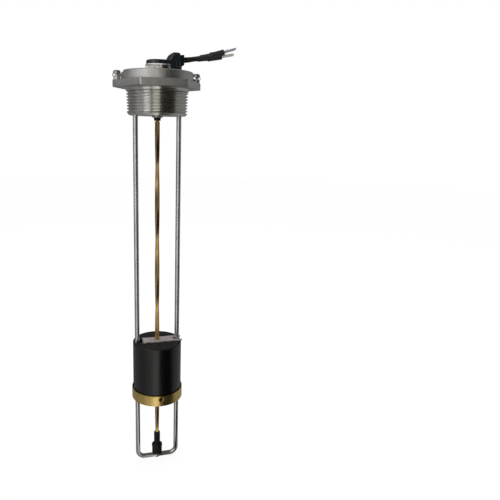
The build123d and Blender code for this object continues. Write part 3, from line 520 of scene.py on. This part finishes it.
def float_black():
    """Moulded black float, satin, with faint vertical marks from the mould and a duller top."""
    look = Shader("float_black", (0.002, 0.002, 0.002), 0.0, 0.27)
    look.set("Specular IOR Level", 0.52)
    marks = look.noise(2.5 * MM, 3, stretch=(1, 1, 0.15))
    look.color(look.two_tone(marks, (0.0003, 0.0003, 0.0003), (0.0012, 0.0012, 0.001)))
    satin = look.grey_ramp(marks, 0.26, 0.36)
    dull = look.grey_ramp(marks, 0.50, 0.62)
    look.link(look.mix(look.height(*FLOAT_TOP), satin, dull), look.bsdf.inputs["Roughness"])
    look.bump(look.noise(0.8 * MM, 4), 0.10, 0.08 * MM)
    return look.material


def bearing_black():
    """Matte moulded plastic."""
    look = Shader("bearing_black", (0.003, 0.003, 0.003), 0.0, 0.50)
    look.set("Specular IOR Level", 0.22)
    grain = look.noise(0.6 * MM, 3)
    look.color(look.two_tone(grain, (0.0015, 0.0015, 0.0015), (0.005, 0.005, 0.006)))
    look.roughness(grain, 0.42, 0.58)
    look.bump(grain, 0.12, 0.06 * MM)
    return look.material


def sheet_metal():
    """Rough, pale sheet metal with scratches along its length."""
    look = Shader("sheet_metal", (0.55, 0.52, 0.51), 0.55, 0.55)
    scratches = look.noise(0.7 * MM, 4, stretch=(0.2, 1, 1))
    look.color(look.two_tone(scratches, (0.36, 0.32, 0.315), (0.58, 0.53, 0.52)))
    look.roughness(scratches, 0.45, 0.65)
    look.bump(scratches, 0.30, 0.10 * MM)
    return look.material


def dial_white():
    """Printed disc, off-white, barely mottled."""
    look = Shader("dial_white", (0.72, 0.71, 0.69), 0.0, 0.55)
    mottle = look.noise(5 * MM, 2)
    look.color(look.two_tone(mottle, (0.68, 0.67, 0.65), (0.76, 0.75, 0.73)))
    look.bump(look.noise(0.5 * MM, 2), 0.05, 0.03 * MM)
    return look.material


def print_black():
    """Printing ink, worn a little."""
    look = Shader("print_black", (0.006, 0.006, 0.008), 0.0, 0.6)
    look.set("Specular IOR Level", 0.05)
    wear = look.noise(0.6 * MM, 2)
    look.color(look.two_tone(wear, (0.004, 0.004, 0.005), (0.012, 0.012, 0.014)))
    return look.material


def pointer_red():
    """Painted or moulded red disc."""
    look = Shader("pointer_red", (0.62, 0.06, 0.02), 0.0, 0.45)
    mottle = look.noise(2 * MM, 2)
    look.color(look.two_tone(mottle, (0.55, 0.045, 0.018), (0.68, 0.08, 0.03)))
    look.bump(look.noise(0.4 * MM, 2), 0.06, 0.03 * MM)
    return look.material


def seal_rubber():
    """Dark red rubber."""
    look = Shader("seal_rubber", (0.16, 0.010, 0.014), 0.0, 0.5)
    mottle = look.noise(1.5 * MM, 2)
    look.color(look.two_tone(mottle, (0.12, 0.008, 0.010), (0.20, 0.014, 0.018)))
    look.bump(look.noise(0.4 * MM, 2), 0.08, 0.03 * MM)
    return look.material


def clear_lens():
    """Clear moulded plastic: a clean plate, and a boss that is cloudy, with painted shade of the
    module at its rear and under the module.
    """
    look = Shader("clear_lens", (0.97, 0.98, 0.97), 0.0, 0.03)
    look.set("Transmission Weight", 1.0)
    look.set("IOR", 1.49)
    clouds = look.noise(2.6 * MM, 2, stretch=(1, 1, 1.6))
    clean = look.two_tone(clouds, (0.96, 0.97, 0.96), (0.98, 0.98, 0.98))
    cloudy = look.two_tone(clouds, (0.86, 0.84, 0.82), (1.0, 1.0, 0.99), 0.36, 0.56)
    # Painted shade: the module's shadow, dark on the boss's rear from a slanted line on
    rear = look.ranged(look.measure("DOT_PRODUCT", look.place, BOSS_SHADE_SLANT), *BOSS_SHADE_REAR)
    shade = look.two_tone(rear, (0.92, 0.91, 0.89), (0.12, 0.117, 0.117), 0.0, 1.0)
    # Painted shade under the module, dimmer towards the boss's top
    under = look.grey_ramp(look.height(*BOSS_SHADE_TOP), 1.0, 0.74, 0.0, 1.0)
    boss = look.multiply(look.multiply(cloudy, shade), under)
    wall = look.maths("MULTIPLY", look.height(*BOSS_FOOT), look.upright())
    look.color(look.mix(wall, clean, boss))
    look.bump(look.noise(5 * MM, 2), 0.06, 0.05 * MM)
    return look.material


def module_teal():
    """Glossy moulded plastic, very dark blue green."""
    look = Shader("module_teal", (0.006, 0.013, 0.017), 0.0, 0.22)
    mottle = look.noise(4 * MM, 3)
    look.color(look.two_tone(mottle, (0.005, 0.011, 0.015), (0.008, 0.016, 0.021)))
    look.roughness(look.noise(1.5 * MM, 3), 0.17, 0.30)
    look.bump(look.noise(0.9 * MM, 3), 0.06, 0.04 * MM)
    return look.material


def board_green():
    """Circuit board with faint tracks."""
    look = Shader("board_green", (0.02, 0.12, 0.04), 0.0, 0.35)
    tracks = look.noise(1.2 * MM, 1)
    look.color(look.two_tone(tracks, (0.015, 0.09, 0.03), (0.03, 0.16, 0.06), 0.45, 0.55))
    return look.material


def magnet_grey():
    """Sintered magnet, grainy and dull."""
    look = Shader("magnet_grey", (0.10, 0.10, 0.10), 0.6, 0.5)
    grain = look.noise(0.7 * MM, 3)
    look.color(look.two_tone(grain, (0.07, 0.07, 0.07), (0.15, 0.15, 0.15)))
    look.bump(grain, 0.2, 0.05 * MM)
    return look.material


def wire_black():
    """Glossy black insulation."""
    look = Shader("wire_black", (0.004, 0.004, 0.005), 0.0, 0.28)
    streaks = look.noise(0.8 * MM, 2, stretch=(0.2, 1, 1))
    look.color(look.two_tone(streaks, (0.003, 0.003, 0.004), (0.008, 0.008, 0.009)))
    look.roughness(streaks, 0.22, 0.36)
    look.bump(streaks, 0.08, 0.04 * MM)
    return look.material


def shrink_black():
    """Matte shrink sleeve with faint wrinkles round it."""
    look = Shader("shrink_black", (0.010, 0.009, 0.010), 0.0, 0.55)
    wrinkles = look.noise(1.2 * MM, 3, stretch=(1, 0.4, 0.4))
    look.color(look.two_tone(wrinkles, (0.006, 0.006, 0.007), (0.016, 0.014, 0.016)))
    look.roughness(wrinkles, 0.46, 0.62)
    look.bump(wrinkles, 0.25, 0.10 * MM)
    return look.material


def plated_terminal(name, dark, light):
    """Dull plated sheet with faint scratches along the blade."""
    look = Shader(name, light, 0.35, 0.42)
    clouds = look.noise(3 * MM, 4)
    scratches = look.noise(0.6 * MM, 4, stretch=(0.15, 1, 1))
    look.color(look.two_tone(clouds, dark, light))
    look.roughness(scratches, 0.38, 0.52)
    look.bump(scratches, 0.08, 0.02 * MM)
    return look.material


def add_object(name, data):
    """A new object in the scene."""
    made = bpy.data.objects.new(name, data)
    bpy.context.scene.collection.objects.link(made)
    return made


def mesh_of(curve):
    """A mesh of what a curve draws."""
    line = bpy.data.objects.new(curve.name, curve)
    data = bpy.data.meshes.new_from_object(line)
    bpy.data.objects.remove(line)
    return data


def mesh_data(name, mesh):
    """Mesh data made of a bmesh, which is then freed."""
    data = bpy.data.meshes.new(name)
    mesh.to_mesh(data)
    mesh.free()
    return data


def new_piece(name, data, body, slot, *materials):
    """Links a new object, gives it its materials and lets it ride on a body."""
    piece = add_object(name, data)
    for material in materials:
        data.materials.append(material)
    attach(piece, body)
    return piece


def smooth_by_angle(data, degrees):
    """Smooth shading, with the edges that turn by more than an angle left sharp."""
    data.polygons.foreach_set("use_smooth", [True] * len(data.polygons))
    data.set_sharp_from_angle(angle=math.radians(degrees))


def thread_radius(z):
    """The radius of the tapered thread's crest at a height."""
    return THREAD_TOP_RADIUS + (z - THREAD_TOP_Z) * THREAD_TAPER


def add_thread(mesh, material_index):
    """Cuts the thread's helix between its two ends: rows of points that climb one pitch a turn."""
    per_turn = len(THREAD_PROFILE)
    turns = math.ceil((THREAD_TOP_Z - THREAD_BOTTOM_Z) / THREAD_PITCH) + 2
    rows = []
    for turn in range(-1, turns):
        for share, cut in THREAD_PROFILE:
            start = THREAD_BOTTOM_Z + (turn + share) * THREAD_PITCH
            row = []
            for column in range(THREAD_COLUMNS):
                angle = 2 * math.pi * column / THREAD_COLUMNS
                z = start + THREAD_PITCH * column / THREAD_COLUMNS
                z = min(max(z, THREAD_BOTTOM_Z), THREAD_TOP_Z)
                end = min(z - THREAD_BOTTOM_Z, THREAD_TOP_Z - z)
                depth = THREAD_DEPTH * cut * min(1.0, end / THREAD_FADE)
                radius = thread_radius(z) - depth
                row.append(mesh.verts.new((radius * math.cos(angle), radius * math.sin(angle), z)))
            rows.append(row)
    for lower in range(len(rows) - per_turn - 1):
        for column in range(THREAD_COLUMNS):
            beside = (column + 1) % THREAD_COLUMNS
            joined = lower if beside else lower + per_turn
            corners = (
                rows[lower][column],
                rows[joined][beside],
                rows[joined + 1][beside],
                rows[lower + 1][column],
            )
            mesh.faces.new(corners).material_index = material_index


def head_surface(z, radius):
    """The surface of the head that a face belongs to, by its height and its radius."""
    if z < HEXAGON_FOOT_Z:
        return TURNED
    if RECESS_FLOOR_Z < z < LEDGE_Z - 2 * LEDGE_DROP and radius < RECESS_RADIUS:
        return RECESS
    if abs(z - LEDGE_Z) < 2 * LEDGE_DROP:
        return LEDGE
    return CAST


def head_piece():
    """The head casting with a true helix, in place of the plain grooves of the CAD node."""
    data = nodes["head_casting"].data.copy()
    data.materials.clear()
    if "custom_normal" in data.attributes:
        data.attributes.remove(data.attributes["custom_normal"])
    mesh = bmesh.new()
    mesh.from_mesh(data)
    bmesh.ops.remove_doubles(mesh, verts=mesh.verts, dist=MERGE_DISTANCE)
    for vertex in mesh.verts:
        if abs(vertex.co.z - LEDGE_Z) < LEDGE_DROP:
            vertex.co.z -= LEDGE_DROP
    grooves = []
    for face in mesh.faces:
        centre = face.calc_center_median()
        radius = math.hypot(centre.x, centre.y)
        if THREAD_BOTTOM_Z < centre.z < THREAD_TOP_Z and radius > GROOVE_INNER_RADIUS:
            grooves.append(face)
        else:
            face.material_index = head_surface(centre.z, radius)
    bmesh.ops.delete(mesh, geom=grooves, context="FACES")
    add_thread(mesh, TURNED)
    bmesh.ops.remove_doubles(mesh, verts=mesh.verts, dist=MERGE_DISTANCE)
    bmesh.ops.dissolve_degenerate(mesh, edges=mesh.edges, dist=SLIVER_LENGTH)
    mesh.to_mesh(data)
    mesh.free()
    smooth_by_angle(data, degrees=28)
    # The ledge is a dimmer copy of the cast metal: painted shade under the lens
    cast, ledge = cast_metal("cast_metal", 1), cast_metal("ledge_metal_painted_shade", LEDGE_SHADE_SHARE)
    looks = cast, machined_thread(), recess_metal(), ledge
    piece = new_piece("head", data, "gauge", "cast_grey", *looks)
    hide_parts("head_casting")


def route_spline(name, route):
    """A smooth curve with the route's points as its control points."""
    data = bpy.data.curves.new(name, "CURVE")
    data.dimensions = "3D"
    spline = data.splines.new("NURBS")
    spline.points.add(len(route) - 1)
    for point, place in zip(spline.points, route):
        point.co = (*(value * MM for value in place), 1)
    spline.order_u = 3
    spline.use_endpoint_u = True
    data.resolution_u = 16
    return data


def route_points(name, route):
    """Points read from the route's own spline."""
    return [vertex.co.copy() for vertex in mesh_of(route_spline(name + "_line", route)).vertices]


def wire_piece(name, route, material):
    """A lead's insulated wire."""
    data = route_spline(name, route)
    data.bevel_depth = WIRE_DIAMETER / 2
    data.bevel_resolution = 6
    data.use_fill_caps = True
    return new_piece(name, data, "gauge", "wire_black", material)


def sleeve_radius(share):
    """The shrink sleeve's radius along its length: it steps up and swells over the crimp."""
    swell = math.exp(-(((share - SLEEVE_SWELL_AT) / SLEEVE_SWELL_SPREAD) ** 2))
    step = 1 / (1 + math.exp(-(share - SLEEVE_STEP_AT) / SLEEVE_STEP_SPREAD))
    return (SLEEVE_RADIUS + SLEEVE_STEP * step + SLEEVE_SWELL * swell) * MM


def sleeve_end(section):
    """A sleeve's rounded end, from the wire outwards to just inside the end section."""
    point, side, up, radius = section
    return [(point, side, up, WIRE_DIAMETER / 2), (point, side, up, radius - SLEEVE_LIP)]


def sleeve_piece(name, points, start_x, material):
    """A shrink sleeve round the far part of a lead."""
    path = [point for point in points if point.x >= start_x]
    lengths = [0.0]
    for before, after in zip(path, path[1:]):
        lengths.append(lengths[-1] + (after - before).length)
    sections = []
    for index, point in enumerate(path):
        ahead = path[min(index + 1, len(path) - 1)] - path[max(index - 1, 0)]
        side = ahead.cross(Vector((0, 0, 1))).normalized()
        up = side.cross(ahead).normalized()
        sections.append((point, side, up, sleeve_radius(lengths[index] / lengths[-1])))
    sections = [*sleeve_end(sections[0]), *sections, *reversed(sleeve_end(sections[-1]))]
    mesh = bmesh.new()
    loops = []
    for point, side, up, radius in sections:
        loop = []
        for segment in range(SLEEVE_SEGMENTS):
            angle = 2 * math.pi * segment / SLEEVE_SEGMENTS
            offset = (side * math.cos(angle) + up * math.sin(angle)) * radius
            loop.append(mesh.verts.new(point + offset))
        loops.append(loop)
    for near, far in zip(loops, loops[1:]):
        for segment in range(SLEEVE_SEGMENTS):
            beside = (segment + 1) % SLEEVE_SEGMENTS
            mesh.faces.new((near[segment], near[beside], far[beside], far[segment]))
    bmesh.ops.recalc_face_normals(mesh, faces=mesh.faces)
    data = mesh_data(name, mesh)
    smooth_by_angle(data, degrees=50)
    return new_piece(name, data, "gauge", "sleeve_black", material)


def lead_pieces():
    """The two leads with their sleeves, on the routes of the CAD tubes."""
    wire, shrink = wire_black(), shrink_black()
    for name, route in (("upper", UPPER_ROUTE), ("lower", LOWER_ROUTE)):
        points = route_points(name, route)
        lead = wire_piece("lead_" + name, route, wire)
        start_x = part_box("shrink_" + name)[0].x + SLEEVE_INSET
        sleeve = sleeve_piece("sleeve_" + name, points, start_x, shrink)
        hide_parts("wire_" + name)
        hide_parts("shrink_" + name)


def drive_plate():
    """The float's drive plate, with hand-cut uneven edges, a square hole, a fork and a bent tab."""
    data = bpy.data.curves.new("plate_outline", "CURVE")
    data.dimensions = "2D"
    data.fill_mode = "BOTH"
    data.extrude = (PLATE_TOP_Z - PLATE_BOTTOM_Z) / 2
    for outline in (plate_edge(), plate_hole()):
        spline = data.splines.new("POLY")
        spline.points.add(len(outline) - 1)
        for point, (x, y) in zip(spline.points, outline):
            point.co = (x * MM, y * MM, 0, 1)
        spline.use_cyclic_u = True
    plate = mesh_of(data)
    plate.transform(Matrix.Translation((0, 0, (PLATE_TOP_Z + PLATE_BOTTOM_Z) / 2)))
    mesh = bmesh.new()
    mesh.from_mesh(plate)
    bmesh.ops.remove_doubles(mesh, verts=mesh.verts, dist=MERGE_DISTANCE)
    add_plate_tab(mesh)
    mesh.to_mesh(plate)
    mesh.free()
    smooth_by_angle(plate, degrees=30)
    piece = new_piece("float_plate", plate, "float", "plate_steel", sheet_metal())
    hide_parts("drive_plate")


def plate_edge():
    """The plate's outline, anticlockwise: front edge, fork, rear edge and the bent end."""
    low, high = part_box("drive_plate")
    left, right = low.x / MM, high.x / MM
    front, rear = low.y / MM, high.y / MM
    edge = [(left + PLATE_BEND, front)]
    edge += [(left + share * (right - left), front + cut) for share, cut in PLATE_FRONT_CUTS]
    edge += [(right, front), (right, -FORK_HALF)]
    for step in range(FORK_STEPS + 1):
        angle = -math.pi / 2 - math.pi * step / FORK_STEPS
        edge.append((FORK_CENTRE + FORK_HALF * math.cos(angle), FORK_HALF * math.sin(angle)))
    edge += [(right, FORK_HALF), (right, rear)]
    edge += [(left + share * (right - left), rear - cut) for share, cut in PLATE_REAR_CUTS]
    edge.append((left + PLATE_BEND, rear))
    return edge


def plate_hole():
    """The square hole round the twisted bar, turned as the bar is at that height."""
    corners = []
    for quarter in range(4):
        angle = HOLE_TURN + math.pi / 4 + math.pi / 2 * quarter
        corners.append((HOLE_REACH * math.cos(angle), HOLE_REACH * math.sin(angle)))
    return corners


def add_plate_tab(mesh):
    """The bend at the plate's left end and the tab that hooks into the float."""
    low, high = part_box("drive_plate")
    left, thickness = low.x, PLATE_TOP_Z - PLATE_BOTTOM_Z
    profile = [(left, low.z), (left + thickness, low.z), (left + thickness, PLATE_BOTTOM_Z)]
    profile += [(left + PLATE_BEND * MM, PLATE_BOTTOM_Z), (left + PLATE_BEND * MM, PLATE_TOP_Z)]
    for step in range(1, TAB_STEPS + 1):
        angle = math.pi / 2 + math.pi / 2 * step / TAB_STEPS
        x = left + thickness + thickness * math.cos(angle)
        profile.append((x, PLATE_BOTTOM_Z + thickness * math.sin(angle)))
    ends = []
    for y in (low.y, high.y):
        ends.append([mesh.verts.new((x, y, z)) for x, z in profile])
    faces = [mesh.faces.new(ends[0]), mesh.faces.new(list(reversed(ends[1])))]
    for index in range(len(profile)):
        beside = (index + 1) % len(profile)
        corners = (ends[0][beside], ends[0][index], ends[1][index], ends[1][beside])
        faces.append(mesh.faces.new(corners))
    bmesh.ops.recalc_face_normals(mesh, faces=faces)


def letter_mesh(letter, size, place, turn):
    """A mesh of one letter made of flat strokes, lying on the dial with its top towards -X."""
    data = bpy.data.curves.new("letter", "CURVE")
    data.dimensions = "3D"
    for stroke in LETTER_STROKES[letter]:
        spline = data.splines.new("POLY")
        spline.points.add(len(stroke) - 1)
        for point, (across, above) in zip(spline.points, stroke):
            point.co = ((across - 0.5) * LETTER_WIDTH * size, (above - 0.5) * size, 0, 1)
    data.bevel_depth = LETTER_STROKE / 2
    data.bevel_resolution = 2
    data.use_fill_caps = True
    mesh = mesh_of(data)
    angle = math.radians(90 + turn)
    centre = Vector((*place, DIAL_TOP_Z + MARK_THICKNESS / 2))
    flat = Matrix.Diagonal((1, 1, MARK_THICKNESS / LETTER_STROKE, 1))
    mesh.transform(Matrix.Translation(centre) @ Matrix.Rotation(angle, 4, "Z") @ flat)
    return mesh


def dial_marks():
    """The dial's printed scale: letters, fractions and dots, as one thin piece."""
    mesh = bmesh.new()
    for letter, size, place, turn in MARK_LETTERS:
        flat_letter = letter_mesh(letter, size * MM, [value * MM for value in place], turn)
        mesh.from_mesh(flat_letter)
        bpy.data.meshes.remove(flat_letter)
    for x, y, radius in MARK_DOTS:
        spot = Matrix.Translation((x * MM, y * MM, DIAL_TOP_Z + MARK_THICKNESS / 2))
        bmesh.ops.create_cone(
            mesh,
            cap_ends=True,
            segments=DOT_SEGMENTS,
            radius1=radius * MM,
            radius2=radius * MM,
            depth=MARK_THICKNESS,
            matrix=spot,
        )
    new_piece("dial_marks", mesh_data("dial_marks", mesh), "gauge", "bearing_black", print_black())


def make_camera():
    """The photograph's viewing angle."""
    right = Vector((math.cos(CAMERA_AZIMUTH), math.sin(CAMERA_AZIMUTH), 0))
    flat = math.cos(CAMERA_PITCH)
    back = Vector(
        (
            math.sin(CAMERA_AZIMUTH) * flat,
            -math.cos(CAMERA_AZIMUTH) * flat,
            math.sin(CAMERA_PITCH),
        )
    )
    up = back.cross(right)
    aim = right * CAMERA_SIDE + Vector((0, 0, CAMERA_AIM_Z))
    across = right * math.cos(CAMERA_ROLL) + up * math.sin(CAMERA_ROLL)
    above = up * math.cos(CAMERA_ROLL) - right * math.sin(CAMERA_ROLL)
    data = bpy.data.cameras.new("camera")
    data.sensor_width = CAMERA_SENSOR
    data.lens = CAMERA_LENS
    data.shift_x = CAMERA_SHIFT
    data.clip_start = CAMERA_CLIP_START
    camera = add_object("camera", data)
    turn = Matrix((across, above, back)).transposed().to_4x4()
    camera.matrix_world = Matrix.Translation(aim + back * CAMERA_DISTANCE) @ turn
    bpy.context.scene.camera = camera


def background_rays(tree):
    """1 for the rays that show the background: those of the camera, of gloss and of glass."""
    rays = tree.nodes.new("ShaderNodeLightPath")
    seen = rays.outputs["Is Camera Ray"]
    for kind in ("Is Glossy Ray", "Is Transmission Ray"):
        either = tree.nodes.new("ShaderNodeMath")
        either.operation = "MAXIMUM"
        tree.links.new(seen, either.inputs[0])
        tree.links.new(rays.outputs[kind], either.inputs[1])
        seen = either.outputs["Value"]
    return seen


def make_world():
    """Even light for matt surfaces, and a white background for the camera, metal and glass."""
    world = bpy.data.worlds.new("studio")
    bpy.context.scene.world = world
    world.use_nodes = True
    tree = world.node_tree
    room = tree.nodes["Background"]
    room.inputs["Color"].default_value = (1, 1, 1, 1)
    room.inputs["Strength"].default_value = ROOM_LEVEL
    white = tree.nodes.new("ShaderNodeBackground")
    white.inputs["Color"].default_value = (1, 1, 1, 1)
    white.inputs["Strength"].default_value = 1.0
    choice = tree.nodes.new("ShaderNodeMixShader")
    tree.links.new(background_rays(tree), choice.inputs["Fac"])
    tree.links.new(room.outputs["Background"], choice.inputs[1])
    tree.links.new(white.outputs["Background"], choice.inputs[2])
    tree.links.new(choice.outputs["Shader"], tree.nodes["World Output"].inputs["Surface"])


def make_card(name, start, end, near_level, far_level, tint):
    """A studio card that goes from the floor up and over the gauge, seen in reflections only."""
    mesh = bmesh.new()
    columns = []
    for step in range(CARD_STEPS + 1):
        bearing = CAMERA_AZIMUTH + math.radians(start + (end - start) * step / CARD_STEPS)
        across, along = math.sin(bearing), -math.cos(bearing)
        columns.append([mesh.verts.new((r * across, r * along, z)) for r, z in CARD_PROFILE])
    for near, far in zip(columns, columns[1:]):
        for low in range(len(CARD_PROFILE) - 1):
            mesh.faces.new((near[low], far[low], far[low + 1], near[low + 1]))
    data = mesh_data(name, mesh)
    card = add_object(name, data)
    card.visible_camera = False
    card.visible_diffuse = False
    card.visible_shadow = False
    card.visible_transmission = False
    look = Shader(name, (0, 0, 0), 0.0, 1.0)
    dim = [value * CARD_DIMMEST for value in tint]
    look.link(look.two_tone(look.noise(0.3, 2), dim, tint), look.bsdf.inputs["Emission Color"])
    reach = look.measure("LENGTH", look.place)
    level = look.ranged(reach, CARD_NEAR, CARD_FAR, near_level, far_level)
    look.link(level, look.bsdf.inputs["Emission Strength"])
    data.materials.append(look.material)


def area_light(name, place, aim, size, power, in_gloss):
    """A rectangular lamp, which gloss and metal reflect or don't."""
    data = bpy.data.lights.new(name, "AREA")
    data.shape = "RECTANGLE"
    data.size, data.size_y = size
    data.energy = power
    light = add_object(name, data)
    light.location = place
    light.visible_glossy = in_gloss
    light.rotation_euler = (Vector(aim) - Vector(place)).to_track_quat("-Z", "Y").to_euler()


def make_floor():
    """A plain white floor under the gauge, which keeps a faint shadow."""
    lowest = cad_box[0][2]
    mesh = bmesh.new()
    bmesh.ops.create_circle(mesh, cap_ends=True, radius=FLOOR_RADIUS, segments=FLOOR_SEGMENTS)
    bmesh.ops.translate(mesh, verts=mesh.verts, vec=(0, 0, lowest - FLOOR_GAP))
    data = mesh_data("floor", mesh)
    floor = add_object("floor", data)
    look = Shader("floor_white", (0.9, 0.9, 0.9), 0.0, 0.9)
    look.color(look.grey_ramp(look.noise(0.2, 2), 0.895, 0.905))
    white = look.node("ShaderNodeEmission")
    white.inputs["Strength"].default_value = FLOOR_WHITE
    share = look.node("ShaderNodeMath", operation="MULTIPLY")
    look.link(background_rays(look.tree), share.inputs[0])
    share.inputs[1].default_value = FLOOR_SHARE
    choice = look.node("ShaderNodeMixShader")
    look.link(share.outputs["Value"], choice.inputs["Fac"])
    look.link(look.bsdf.outputs["BSDF"], choice.inputs[1])
    look.link(white.outputs["Emission"], choice.inputs[2])
    look.link(choice.outputs["Shader"], look.tree.nodes["Material Output"].inputs["Surface"])
    data.materials.append(look.material)


def dress_nodes():
    """Materials of the CAD nodes that keep their own shape."""
    steel, black, zinc = drawn_steel(), bearing_black(), zinc_plate()
    magnet, white = magnet_grey(), dial_white()
    looks = {
        "guide_rod": steel,
        "upper_collar": turned_steel(),
        "upper_bush": black,
        "foot_bearing": black,
        "lower_sleeve": black,
        "magnet_carrier": black,
        "drive_magnet": magnet,
        "pointer_magnet": magnet,
        "spiral_bar": bar_brass(),
        "float_body": float_black(),
        "float_ring": ring_brass(),
        "ring_pin": pin_steel(),
        "dial_base": white,
        "dial_face": white,
        "pointer": pointer_red(),
        "pointer_pivot": steel,
        "dial_seal": seal_rubber(),
        "dial_lens": clear_lens(),
        "dial_screw_far": zinc,
        "dial_screw_lead": zinc,
        "lock_washer_far": zinc,
        "lock_washer_lead": zinc,
        "module_cover": module_teal(),
        "lead_block": black,
        "sensor_board": board_green(),
        "sensor_chip": black,
        "terminal_upper": plated_terminal("plated_blue", (0.27, 0.29, 0.31), (0.44, 0.465, 0.49)),
        "terminal_lower": plated_terminal("plated_beige", (0.46, 0.435, 0.40), (0.67, 0.64, 0.60)),
    }
    for node, material in looks.items():
        data = nodes[node].data
        data.materials.clear()
        data.materials.append(material)


bpy.context.scene.view_settings.view_transform = "Standard"
make_camera()
lead_pieces()
head_piece()
dial_marks()
drive_plate()
dress_nodes()
make_world()
make_floor()
for card in CARDS:
    make_card(*card)
for lamp in LAMPS:
    area_light(*lamp)
